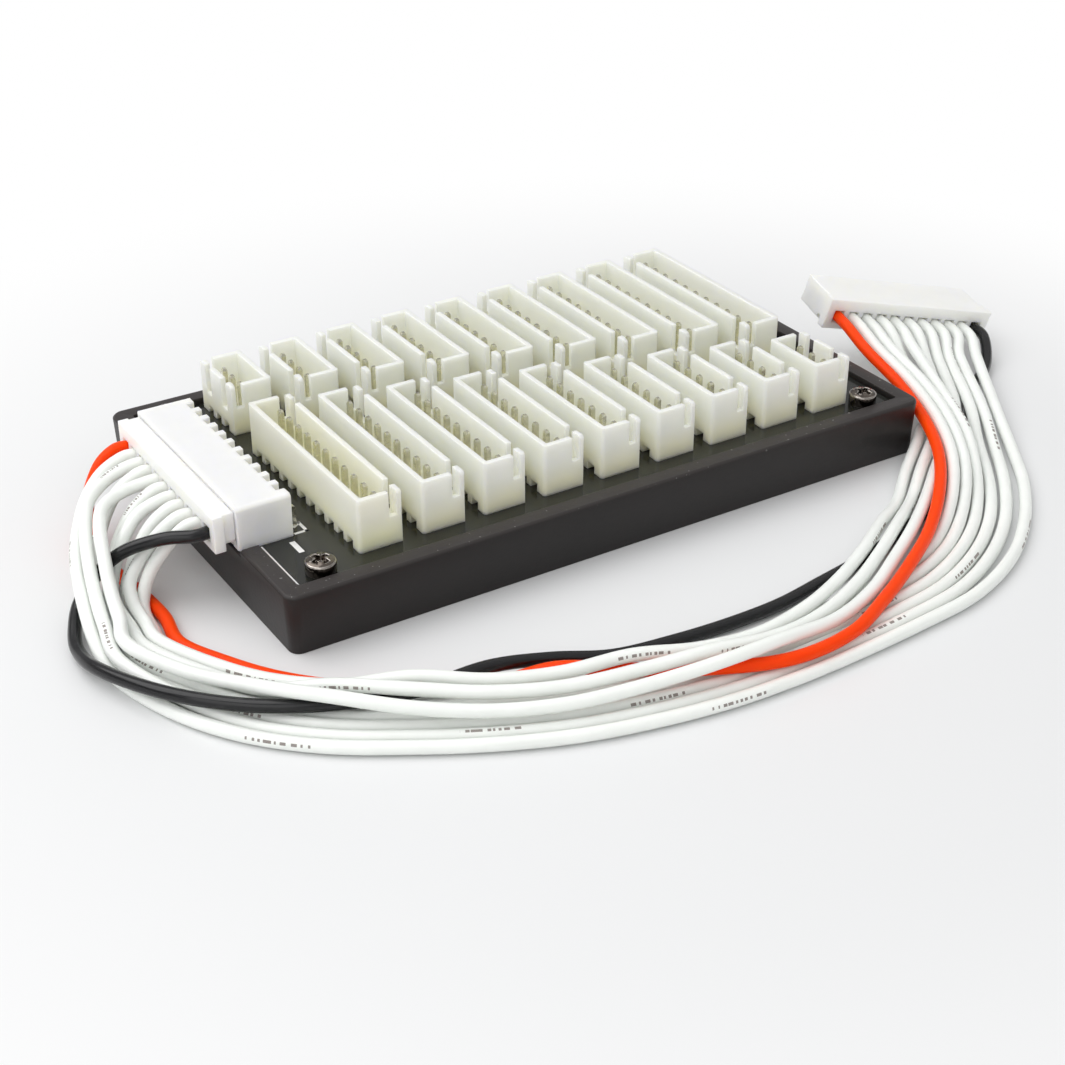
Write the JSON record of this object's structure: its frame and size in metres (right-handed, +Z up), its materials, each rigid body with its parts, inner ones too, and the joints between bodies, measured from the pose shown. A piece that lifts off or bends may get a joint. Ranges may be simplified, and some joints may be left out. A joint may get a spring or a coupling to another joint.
{
  "type": "battery balance adapter board",
  "caption": "Flat tray with a circuit board, two rows of upright shrouded pin sockets of stepped lengths, a side socket and a multi-wire lead to a free plug, for charging battery packs.",
  "frame": {"origin": "middle of the tray's underside", "axes": "+X along the tray, away from the side socket; +Y to the back row; +Z up, out of the sockets"},
  "size_m": [0.1482, 0.0895, 0.0141],
  "materials": {
    "tray": "satin black moulding",
    "board": "black solder mask",
    "screws": "black oxide",
    "header": "natural nylon, slightly clear",
    "pins": "tin plated",
    "plug": "white nylon",
    "wire_white": "glossy silicone",
    "wire_red": "glossy silicone",
    "wire_black": "glossy silicone"
  },
  "bodies": {
    "root": {"tray": "tray", "circuit_board": "board", "board_screws": "screws", "header_front_1": "header", "header_front_2": "header", "header_front_3": "header", "header_front_4": "header", "header_front_5": "header", "header_front_6": "header", "header_front_7": "header", "header_front_8": "header", "header_front_9": "header", "header_back_1": "header", "header_back_2": "header", "header_back_3": "header", "header_back_4": "header", "header_back_5": "header", "header_back_6": "header", "header_back_7": "header", "header_back_8": "header", "header_back_9": "header", "pins_front_1": "pins", "pins_front_2": "pins", "pins_front_3": "pins", "pins_front_4": "pins", "pins_front_5": "pins", "pins_front_6": "pins", "pins_front_7": "pins", "pins_front_8": "pins", "pins_front_9": "pins", "pins_back_1": "pins", "pins_back_2": "pins", "pins_back_3": "pins", "pins_back_4": "pins", "pins_back_5": "pins", "pins_back_6": "pins", "pins_back_7": "pins", "pins_back_8": "pins", "pins_back_9": "pins", "side_pins": "pins", "board_plug_contacts": "pins", "charger_plug_contacts": "pins", "side_header": "plug", "board_plug": "plug", "charger_plug": "plug", "wire_white_1": "wire_white", "wire_white_2": "wire_white", "wire_white_3": "wire_white", "wire_white_4": "wire_white", "wire_white_5": "wire_white", "wire_white_6": "wire_white", "wire_white_7": "wire_white", "wire_white_8": "wire_white", "wire_white_9": "wire_white", "wire_red": "wire_red", "wire_black": "wire_black"}
  },
  "joints": []
}
